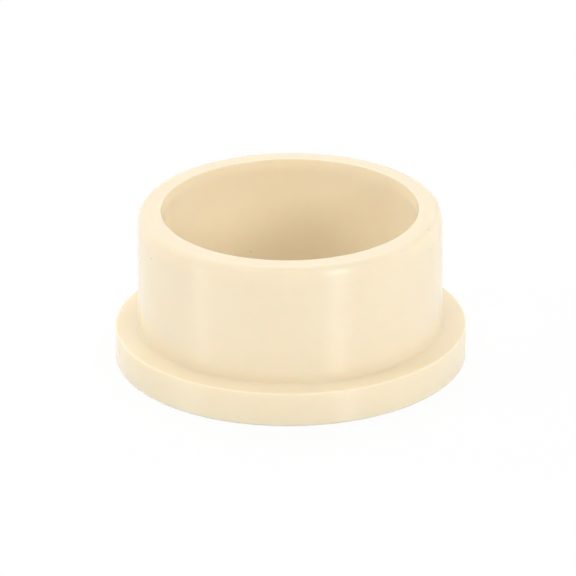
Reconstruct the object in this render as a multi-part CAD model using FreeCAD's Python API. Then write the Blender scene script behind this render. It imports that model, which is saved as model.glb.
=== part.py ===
"""Flanged bushing: a moulded plastic sleeve with a thick flange at one end and an open bore.

The axis of the bore is Z. The origin lies on it, in the flat underside of the flange,
and +Z points to the free end of the sleeve. All lengths are in millimetres.
"""

import FreeCAD, Part
import math
import os

# Driving dimensions
bore_diameter = 25.0
wall_thickness = 2.5
overall_length = 15.6
flange_width = 2.33
flange_thickness = 3.5

# The free end of the sleeve is a soft nose: a large edge round that runs out in a slim taper
nose_taper_width = 0.35
nose_taper_length = 1.2
nose_taper_blend = 3.0
nose_edge_round = 0.8

# Both mouths of the bore have a small lead-in
mouth_width = 0.15
mouth_depth = 0.15

# Edges of the flange, and the inner corner where it meets the sleeve
flange_top_round = 0.4
flange_foot_chamfer = 0.2
shoulder_fillet = 0.2

SHARP = 0.0


def toward(start, end, distance):
    """The point that lies a distance from start on the way to end."""
    way = end - start
    return start + way * (distance / way.Length)


def tangent_arc(before, corner, after, rounding):
    """Start, middle and end of the arc that rounds a corner between its two neighbours."""
    half_opening = (before - corner).getAngle(after - corner) / 2
    start = toward(corner, before, rounding / math.tan(half_opening))
    end = toward(corner, after, rounding / math.tan(half_opening))
    centre = toward(corner, (start + end) / 2, rounding / math.sin(half_opening))
    return start, toward(centre, corner, rounding), end


def section_outline(corners):
    """A closed wire through (radius, height, rounding) corners, with an arc at each rounded one."""
    points = [FreeCAD.Vector(radius, 0, height) for radius, height, _ in corners]
    turns = []
    for index, (_, _, rounding) in enumerate(corners):
        after = points[(index + 1) % len(points)]
        if rounding == SHARP:
            turns.append((points[index],))
        else:
            turns.append(tangent_arc(points[index - 1], points[index], after, rounding))
    edges = []
    for index, turn in enumerate(turns):
        edges.append(Part.LineSegment(turns[index - 1][-1], turn[0]).toShape())
        if len(turn) > 1:
            edges.append(Part.Arc(*turn).toShape())
    return Part.Wire(edges)


def flanged_bushing():
    """One moulded solid: the half section is turned once round the axis of the bore."""
    bore_radius = bore_diameter / 2
    sleeve_radius = bore_radius + wall_thickness
    flange_radius = sleeve_radius + flange_width
    mouth_radius = bore_radius + mouth_width
    corners = [
        (mouth_radius, 0, SHARP),
        (flange_radius - flange_foot_chamfer, 0, SHARP),
        (flange_radius, flange_foot_chamfer, SHARP),
        (flange_radius, flange_thickness, flange_top_round),
        (sleeve_radius, flange_thickness, shoulder_fillet),
        (sleeve_radius, overall_length - nose_taper_length, nose_taper_blend),
        (sleeve_radius - nose_taper_width, overall_length, nose_edge_round),
        (mouth_radius, overall_length, SHARP),
        (bore_radius, overall_length - mouth_depth, SHARP),
        (bore_radius, mouth_depth, SHARP),
    ]
    section = Part.Face(section_outline(corners))
    return section.revolve(FreeCAD.Vector(0, 0, 0), FreeCAD.Vector(0, 0, 1), 360)


os.makedirs("parts", exist_ok=True)
bushing = flanged_bushing()
bushing.exportStep("parts/flanged_bushing.step")
print("flanged_bushing: valid", bushing.isValid(), "volume", round(bushing.Volume, 1), "mm3")
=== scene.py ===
import math

import bpy
from mathutils import Matrix, Vector


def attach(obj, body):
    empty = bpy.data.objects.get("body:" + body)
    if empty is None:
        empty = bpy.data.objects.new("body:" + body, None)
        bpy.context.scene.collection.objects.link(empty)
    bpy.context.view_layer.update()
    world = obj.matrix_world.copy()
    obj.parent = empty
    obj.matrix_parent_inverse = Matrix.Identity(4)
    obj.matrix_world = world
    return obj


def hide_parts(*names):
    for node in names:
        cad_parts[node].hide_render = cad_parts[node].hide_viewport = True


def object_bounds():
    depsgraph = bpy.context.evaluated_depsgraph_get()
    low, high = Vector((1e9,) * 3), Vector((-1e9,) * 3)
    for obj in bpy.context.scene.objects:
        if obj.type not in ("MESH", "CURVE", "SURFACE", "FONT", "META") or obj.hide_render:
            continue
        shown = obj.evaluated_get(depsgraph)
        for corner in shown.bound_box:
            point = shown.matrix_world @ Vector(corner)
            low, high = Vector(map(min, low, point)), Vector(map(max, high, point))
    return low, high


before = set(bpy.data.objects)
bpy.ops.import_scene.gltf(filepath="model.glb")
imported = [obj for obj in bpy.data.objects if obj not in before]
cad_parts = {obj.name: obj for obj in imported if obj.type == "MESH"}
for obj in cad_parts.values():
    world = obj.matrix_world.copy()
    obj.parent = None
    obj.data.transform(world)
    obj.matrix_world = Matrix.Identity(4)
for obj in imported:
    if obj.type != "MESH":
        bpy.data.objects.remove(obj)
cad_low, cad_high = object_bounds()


# The bushing
# One injection-moulded piece of natural cream nylon: a sleeve with a softly rounded nose and an open
# bore, and a thick flange that it stands on. Every corner of its section carries a moulded round,
# and the surface is satin, faintly mottled, and lets a little light in.
MM = 0.001
bore_radius = 12.5 * MM
mouth_width = 0.2 * MM
mouth_depth = 1.0 * MM
mouth_blend = 3.0 * MM
mouth_round = 0.06 * MM
sleeve_radius = 15.0 * MM
nose_taper_width = 0.35 * MM
nose_taper_length = 1.2 * MM
nose_taper_blend = 3.0 * MM
nose_edge_round = 0.8 * MM
shoulder_fillet = 0.2 * MM
flange_thickness = 3.5 * MM
flange_top_round = 0.2 * MM
flange_foot_chamfer = 0.2 * MM
flange_foot_round = 0.15 * MM
flange_radius = min(-cad_low.x, cad_high.x, -cad_low.y, cad_high.y)
overall_length = cad_high.z
segments_around = 288
tallest_row = 0.8 * MM


def rounded_section(corners):
    """Points and outward normals along a closed (radius, height, round, steps) section."""
    spots = [Vector((radius, height)) for radius, height, _, _ in corners]
    points = []
    for index, (_, _, rounding, steps) in enumerate(corners):
        corner = spots[index]
        before = (spots[index - 1] - corner).normalized()
        after = (spots[(index + 1) % len(spots)] - corner).normalized()
        half_opening = before.angle(after) / 2
        to_centre = (before + after).normalized()
        is_hollow = before.x * after.y - before.y * after.x > 0
        centre = corner + to_centre * (rounding / math.sin(half_opening))
        start = corner + before * (rounding / math.tan(half_opening))
        end = corner + after * (rounding / math.tan(half_opening))
        for step in range(steps + 1):
            swing = step / steps
            ray = ((start - centre).normalized()).slerp((end - centre).normalized(), swing)
            normal = -ray if is_hollow else ray
            points.append((centre + ray * rounding, normal))
    return points


def with_rows(points, tallest):
    """The section again, with extra rows wherever two points lie further apart than tallest."""
    filled = []
    for index, (point, normal) in enumerate(points):
        following, following_normal = points[(index + 1) % len(points)]
        rows = max(1, math.ceil((following - point).length / tallest))
        for row in range(rows):
            share = row / rows
            row_normal = normal.lerp(following_normal, share).normalized()
            filled.append((point.lerp(following, share), row_normal))
    return filled


corners = [
    (bore_radius + mouth_width, 0, mouth_round, 4),
    (flange_radius - flange_foot_chamfer, 0, flange_foot_round, 5),
    (flange_radius, flange_foot_chamfer, flange_foot_round, 5),
    (flange_radius, flange_thickness, flange_top_round, 12),
    (sleeve_radius, flange_thickness, shoulder_fillet, 8),
    (sleeve_radius, overall_length - nose_taper_length, nose_taper_blend, 10),
    (sleeve_radius - nose_taper_width, overall_length, nose_edge_round, 16),
    (bore_radius + mouth_width, overall_length, mouth_round, 4),
    (bore_radius, overall_length - mouth_depth, mouth_blend, 6),
    (bore_radius, mouth_depth, mouth_blend, 6),
]
section = with_rows(rounded_section(corners), tallest_row)

vertices = []
normals = []
for around in range(segments_around):
    turn = math.tau * around / segments_around
    for point, normal in section:
        vertices.append((point.x * math.cos(turn), point.x * math.sin(turn), point.y))
        normals.append((normal.x * math.cos(turn), normal.x * math.sin(turn), normal.y))
faces = []
rows = len(section)
for around in range(segments_around):
    here = around * rows
    beside = (around + 1) % segments_around * rows
    for row in range(rows):
        above = (row + 1) % rows
        faces.append((here + row, beside + row, beside + above, here + above))
bushing_mesh = bpy.data.meshes.new("bushing")
bushing_mesh.from_pydata(vertices, [], faces)
bushing_mesh.shade_smooth()
bushing_mesh.normals_split_custom_set_from_vertices(normals)
bushing = bpy.data.objects.new("bushing", bushing_mesh)
bpy.context.scene.collection.objects.link(bushing)


def mould_skin_group():
    """Cloudy mottling and the fine grain that a blasted mould leaves, from object coordinates."""
    group = bpy.data.node_groups.new("mould_skin", "ShaderNodeTree")
    group.interface.new_socket("Position", in_out="INPUT", socket_type="NodeSocketVector")
    group.interface.new_socket("Cloud Size", in_out="INPUT", socket_type="NodeSocketFloat")
    group.interface.new_socket("Grain Size", in_out="INPUT", socket_type="NodeSocketFloat")
    group.interface.new_socket("Clouds", in_out="OUTPUT", socket_type="NodeSocketFloat")
    group.interface.new_socket("Grain", in_out="OUTPUT", socket_type="NodeSocketFloat")
    nodes, links = group.nodes, group.links
    entry = nodes.new("NodeGroupInput")
    leave = nodes.new("NodeGroupOutput")
    for size_name, result_name, detail in (("Cloud Size", "Clouds", 3.0), ("Grain Size", "Grain", 2.0)):
        per_metre = nodes.new("ShaderNodeMath")
        per_metre.operation = "DIVIDE"
        per_metre.inputs[0].default_value = 1.0
        links.new(entry.outputs[size_name], per_metre.inputs[1])
        noise = nodes.new("ShaderNodeTexNoise")
        noise.inputs["Detail"].default_value = detail
        links.new(entry.outputs["Position"], noise.inputs["Vector"])
        links.new(per_metre.outputs["Value"], noise.inputs["Scale"])
        links.new(noise.outputs["Fac"], leave.inputs[result_name])
    return group


def speck_group():
    """A mask for one speck of dust that was moulded in: Depth at its centre, 0 outside it."""
    group = bpy.data.node_groups.new("moulded_in_speck", "ShaderNodeTree")
    group.interface.new_socket("Position", in_out="INPUT", socket_type="NodeSocketVector")
    group.interface.new_socket("Centre", in_out="INPUT", socket_type="NodeSocketVector")
    group.interface.new_socket("Radius", in_out="INPUT", socket_type="NodeSocketFloat")
    group.interface.new_socket("Depth", in_out="INPUT", socket_type="NodeSocketFloat")
    group.interface.new_socket("Mask", in_out="OUTPUT", socket_type="NodeSocketFloat")
    nodes, links = group.nodes, group.links
    entry = nodes.new("NodeGroupInput")
    leave = nodes.new("NodeGroupOutput")
    away = nodes.new("ShaderNodeVectorMath")
    away.operation = "DISTANCE"
    links.new(entry.outputs["Position"], away.inputs[0])
    links.new(entry.outputs["Centre"], away.inputs[1])
    fade = nodes.new("ShaderNodeMapRange")
    fade.interpolation_type = "SMOOTHSTEP"
    fade.inputs["From Min"].default_value = 0.0
    links.new(away.outputs["Value"], fade.inputs["Value"])
    links.new(entry.outputs["Radius"], fade.inputs["From Max"])
    links.new(entry.outputs["Depth"], fade.inputs["To Min"])
    fade.inputs["To Max"].default_value = 0.0
    links.new(fade.outputs["Result"], leave.inputs["Mask"])
    return group


cream = (0.9, 0.77, 0.552, 1)
pale_cream = (0.92, 0.8, 0.588, 1)
dust_brown = (0.3, 0.22, 0.14, 1)
cream_nylon = bpy.data.materials.new("cream_nylon")
cream_nylon.use_nodes = True
nodes, links = cream_nylon.node_tree.nodes, cream_nylon.node_tree.links
shader = nodes["Principled BSDF"]
shader.inputs["IOR"].default_value = 1.5
shader.inputs["Subsurface Weight"].default_value = 0.7
shader.inputs["Subsurface Radius"].default_value = (1.0, 0.8, 0.6)
shader.inputs["Subsurface Scale"].default_value = 1.0 * MM

place = nodes.new("ShaderNodeTexCoord")
skin = nodes.new("ShaderNodeGroup")
skin.node_tree = mould_skin_group()
skin.inputs["Cloud Size"].default_value = 5.0 * MM
skin.inputs["Grain Size"].default_value = 0.12 * MM
links.new(place.outputs["Object"], skin.inputs["Position"])

tint = nodes.new("ShaderNodeMix")
tint.data_type = "RGBA"
tint.inputs["A"].default_value = cream
tint.inputs["B"].default_value = pale_cream
links.new(skin.outputs["Clouds"], tint.inputs["Factor"])

speck_on_sleeve = Vector((-13.51, -6.52, 13.22)) * MM
speck_on_nose = Vector((13.51, -5.17, 15.48)) * MM
speck_in_bore = Vector((-3.96, 11.86, 5.93)) * MM
speck_shape = speck_group()
skin_colour = tint.outputs["Result"]
for centre, radius, depth in (
    (speck_on_sleeve, 0.15 * MM, 0.6),
    (speck_on_nose, 0.25 * MM, 0.2),
    (speck_in_bore, 0.18 * MM, 0.35),
):
    speck = nodes.new("ShaderNodeGroup")
    speck.node_tree = speck_shape
    speck.inputs["Centre"].default_value = centre
    speck.inputs["Radius"].default_value = radius
    speck.inputs["Depth"].default_value = depth
    links.new(place.outputs["Object"], speck.inputs["Position"])
    dusty = nodes.new("ShaderNodeMix")
    dusty.data_type = "RGBA"
    dusty.inputs["B"].default_value = dust_brown
    links.new(speck.outputs["Mask"], dusty.inputs["Factor"])
    links.new(skin_colour, dusty.inputs["A"])
    skin_colour = dusty.outputs["Result"]
links.new(skin_colour, shader.inputs["Base Color"])

satin = nodes.new("ShaderNodeMapRange")
satin.inputs["To Min"].default_value = 0.17
satin.inputs["To Max"].default_value = 0.23
links.new(skin.outputs["Clouds"], satin.inputs["Value"])
links.new(satin.outputs["Result"], shader.inputs["Roughness"])

relief = nodes.new("ShaderNodeBump")
relief.inputs["Strength"].default_value = 0.15
relief.inputs["Distance"].default_value = 0.004 * MM
links.new(skin.outputs["Grain"], relief.inputs["Height"])
links.new(relief.outputs["Normal"], shader.inputs["Normal"])

bushing_mesh.materials.append(cream_nylon)
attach(bushing, "root")
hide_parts("flanged_bushing")


# The floor
# A plain white table that runs past the picture on all sides. The camera sees it as white, and a
# share of its real shading stays so that the bushing keeps its shadow. Only the spot under the
# bushing shows in its gloss; past it the gloss shows the white of the tent.
floor_half = 2.0
floor_height = -0.01 * MM
floor_corners = [
    (-floor_half, -floor_half, floor_height),
    (floor_half, -floor_half, floor_height),
    (floor_half, floor_half, floor_height),
    (-floor_half, floor_half, floor_height),
]
floor_mesh = bpy.data.meshes.new("floor")
floor_mesh.from_pydata(floor_corners, [], [(0, 1, 2, 3)])
floor = bpy.data.objects.new("floor", floor_mesh)
bpy.context.scene.collection.objects.link(floor)

lit_white = (0.95, 0.95, 0.95, 1)
pictured_white = (0.9, 0.9, 0.9, 1)
table_white = bpy.data.materials.new("table_white")
table_white.use_nodes = True
nodes, links = table_white.node_tree.nodes, table_white.node_tree.links
sheet = nodes["Principled BSDF"]
sheet.inputs["Roughness"].default_value = 0.4
ray = nodes.new("ShaderNodeLightPath")
seen_white = nodes.new("ShaderNodeMix")
seen_white.data_type = "RGBA"
seen_white.inputs["A"].default_value = lit_white
seen_white.inputs["B"].default_value = pictured_white
links.new(ray.outputs["Is Camera Ray"], seen_white.inputs["Factor"])
links.new(seen_white.outputs["Result"], sheet.inputs["Base Color"])
glow = nodes.new("ShaderNodeEmission")
glow_share = nodes.new("ShaderNodeMath")
glow_share.operation = "MULTIPLY"
glow_share.inputs[1].default_value = 0.92
blend = nodes.new("ShaderNodeMixShader")
links.new(ray.outputs["Is Camera Ray"], glow_share.inputs[0])
links.new(glow_share.outputs["Value"], blend.inputs["Fac"])
links.new(sheet.outputs["BSDF"], blend.inputs[1])
links.new(glow.outputs["Emission"], blend.inputs[2])
links.new(blend.outputs["Shader"], nodes["Material Output"].inputs["Surface"])
floor_mesh.materials.append(table_white)
floor.visible_glossy = False

spot_radius = flange_radius - 1.0 * MM
spot_height = -0.005 * MM
spot_rim = []
for around in range(segments_around):
    turn = math.tau * around / segments_around
    spot_rim.append((spot_radius * math.cos(turn), spot_radius * math.sin(turn), spot_height))
spot_mesh = bpy.data.meshes.new("table_under_bushing")
spot_mesh.from_pydata(spot_rim, [], [tuple(range(segments_around))])
spot = bpy.data.objects.new("table_under_bushing", spot_mesh)
bpy.context.scene.collection.objects.link(spot)
spot_mesh.materials.append(table_white)


# The light
# Softboxes all round the bushing in a dim white tent, which the gloss sees as white. Each one either
# gives light, or is seen in the gloss, or both: the gloss shows the overhead box, the strip on the
# right and, as soft upright streaks, the images of both strips in the table top.
world = bpy.data.worlds.new("white_tent")
world.use_nodes = True
nodes, links = world.node_tree.nodes, world.node_tree.links
tent = nodes["Background"]
tent.inputs["Color"].default_value = (1, 1, 1, 1)
ray = nodes.new("ShaderNodeLightPath")
seen_or_mirrored = nodes.new("ShaderNodeMath")
seen_or_mirrored.operation = "MAXIMUM"
links.new(ray.outputs["Is Camera Ray"], seen_or_mirrored.inputs[0])
links.new(ray.outputs["Is Glossy Ray"], seen_or_mirrored.inputs[1])
tent_strength = nodes.new("ShaderNodeMapRange")
tent_strength.inputs["To Min"].default_value = 0.03
tent_strength.inputs["To Max"].default_value = 1.0
links.new(seen_or_mirrored.outputs["Value"], tent_strength.inputs["Value"])
links.new(tent_strength.outputs["Result"], tent.inputs["Strength"])
bpy.context.scene.world = world

lamp_distance = 0.6
lamp_white = (0.985, 1.0, 1.035)


def soft_lamp(name, azimuth, elevation, wide, tall, strength, lights=True, shines=True):
    """A softbox, its place and extent in degrees; azimuth 0 is the camera's side.

    Its strength is the brightness of its face, so it doesn't depend on the extent.
    """
    lamp = bpy.data.lights.new(name, "AREA")
    lamp.shape = "RECTANGLE"
    lamp.size = 2 * lamp_distance * math.tan(math.radians(wide / 2))
    lamp.size_y = 2 * lamp_distance * math.tan(math.radians(tall / 2))
    lamp.energy = math.pi * lamp.size * lamp.size_y * strength
    lamp.color = lamp_white
    holder = bpy.data.objects.new(name, lamp)
    around = math.radians(azimuth)
    up = math.radians(elevation)
    toward_lamp = Vector(
        (math.sin(around) * math.cos(up), -math.cos(around) * math.cos(up), math.sin(up))
    )
    holder.location = toward_lamp * lamp_distance
    holder.rotation_mode = "QUATERNION"
    holder.rotation_quaternion = toward_lamp.to_track_quat("Z", "Y")
    holder.visible_camera = False
    holder.visible_diffuse = lights
    holder.visible_glossy = shines
    bpy.context.scene.collection.objects.link(holder)


soft_lamp("front_softbox", 0, 45, 40, 18, 2.45, shines=False)
soft_lamp("low_front_softbox", 0, 24, 40, 14, 1.45, shines=False)
soft_lamp("strip_softbox", 36, 19, 13, 14, 13.1, shines=False)
soft_lamp("strip_gloss", 35, 12, 14, 14, 7.0, lights=False)
soft_lamp("strip_in_the_table", 35, -22, 14, 40, 1.8, lights=False)
soft_lamp("right_softbox", 78, 32, 30, 15, 4.4, shines=False)
soft_lamp("left_softbox", -80, 32, 30, 15, 7.3, shines=False)
soft_lamp("left_strip_softbox", -64, 19, 10, 12, 4.2, shines=False)
soft_lamp("left_strip_in_the_table", -69, -22, 12, 40, 1.1, lights=False)
soft_lamp("rear_left_softbox", -135, 28, 40, 16, 5.1, shines=False)
soft_lamp("rear_right_softbox", 135, 28, 40, 16, 4.3, shines=False)
soft_lamp("back_softbox", 180, 40, 50, 16, 1.1, shines=False)
soft_lamp("overhead_softbox", 180, 62, 44, 22, 1.2)
soft_lamp("top_softbox", 0, 84, 60, 60, 0.52, shines=False)


# The camera
# A long lens, looking down on the bushing from the front with a slight tilt of the picture. It stands
# at its distance from a pivot on the axis of the bore, and aims at a point just left of that axis.
picture_width = 576
focal_pixels = 7260.1
camera_distance = 715.6 * MM
camera_elevation = math.radians(23.639)
picture_tilt = math.radians(-0.476)
pivot_height = 8.0 * MM
aim_point = Vector((-0.234 * MM, 0, 7.103 * MM))
eye = Vector(
    (
        0,
        -camera_distance * math.cos(camera_elevation),
        camera_distance * math.sin(camera_elevation) + pivot_height,
    )
)
sight = (aim_point - eye).normalized()
level_right = sight.cross(Vector((0, 0, 1))).normalized()
level_up = level_right.cross(sight)
right = level_right * math.cos(picture_tilt) + level_up * math.sin(picture_tilt)
up = level_up * math.cos(picture_tilt) - level_right * math.sin(picture_tilt)
lens = bpy.data.cameras.new("camera")
lens.sensor_width = 36
lens.lens = focal_pixels * lens.sensor_width / picture_width
lens.clip_start = 0.01
lens.clip_end = 10
camera = bpy.data.objects.new("camera", lens)
camera.matrix_world = Matrix(
    (
        (right.x, up.x, -sight.x, eye.x),
        (right.y, up.y, -sight.y, eye.y),
        (right.z, up.z, -sight.z, eye.z),
        (0, 0, 0, 1),
    )
)
bpy.context.scene.collection.objects.link(camera)
bpy.context.scene.camera = camera
bpy.context.scene.view_settings.view_transform = "Standard"
